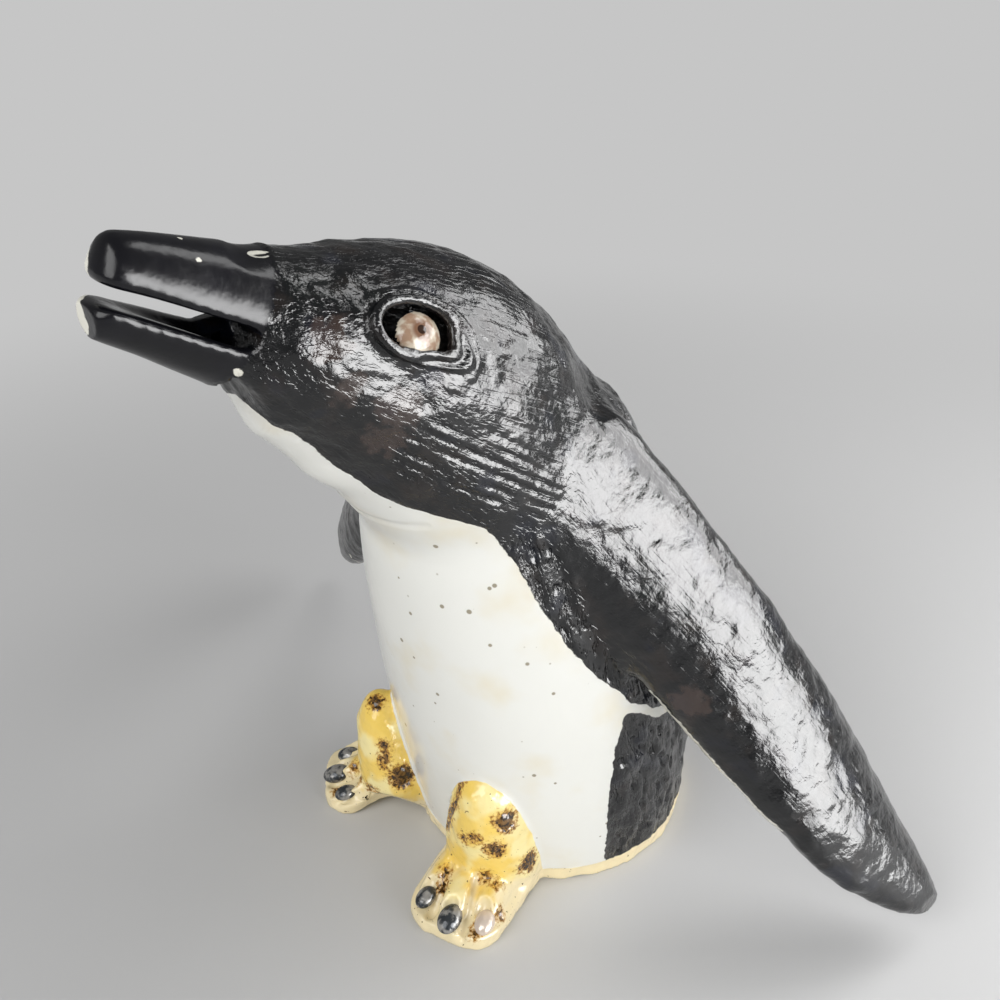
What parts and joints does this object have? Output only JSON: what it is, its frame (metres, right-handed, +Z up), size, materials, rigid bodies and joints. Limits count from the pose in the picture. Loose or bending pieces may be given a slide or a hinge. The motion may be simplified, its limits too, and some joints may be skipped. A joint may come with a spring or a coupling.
{
  "type": "ceramic penguin figurine",
  "caption": "Hand-built hollow glazed ceramic penguin standing on a flat base, head raised, beak slightly open, flippers held out and back.",
  "frame": {"origin": "middle of the round base, on the surface that the figure stands on", "axes": "+Z up, the bird faces -Y, +X to the bird's left"},
  "size_m": [0.2191, 0.1408, 0.1766],
  "materials": {
    "white_glaze": "glossy white glaze with dark specks",
    "black_glaze": "glossy black glaze over incised feather strokes",
    "beak_glaze": "smooth glossy black glaze, worn pale at the tips",
    "yellow_glaze": "glossy yellow and cream glaze with brown speckles",
    "claw_glaze": "glossy dark grey glaze with a metallic sheen",
    "eye_glaze": "glossy beige glaze with a small dark pupil"
  },
  "bodies": {
    "root": {"base_slab": "yellow_glaze", "body_shell": "white_glaze", "head_shell": "black_glaze", "upper_beak": "beak_glaze", "lower_beak": "beak_glaze", "left_eye": "eye_glaze", "right_eye": "eye_glaze", "left_eyelid": "black_glaze", "right_eyelid": "black_glaze", "left_flipper": "black_glaze", "right_flipper": "black_glaze", "left_leg": "yellow_glaze", "right_leg": "yellow_glaze", "left_foot": "yellow_glaze", "right_foot": "yellow_glaze", "left_inner_toe": "yellow_glaze", "left_middle_toe": "yellow_glaze", "left_outer_toe": "yellow_glaze", "right_inner_toe": "yellow_glaze", "right_middle_toe": "yellow_glaze", "right_outer_toe": "yellow_glaze", "left_inner_claw": "claw_glaze", "left_middle_claw": "claw_glaze", "left_outer_claw": "claw_glaze", "right_inner_claw": "claw_glaze", "right_middle_claw": "claw_glaze", "right_outer_claw": "claw_glaze"}
  },
  "joints": []
}
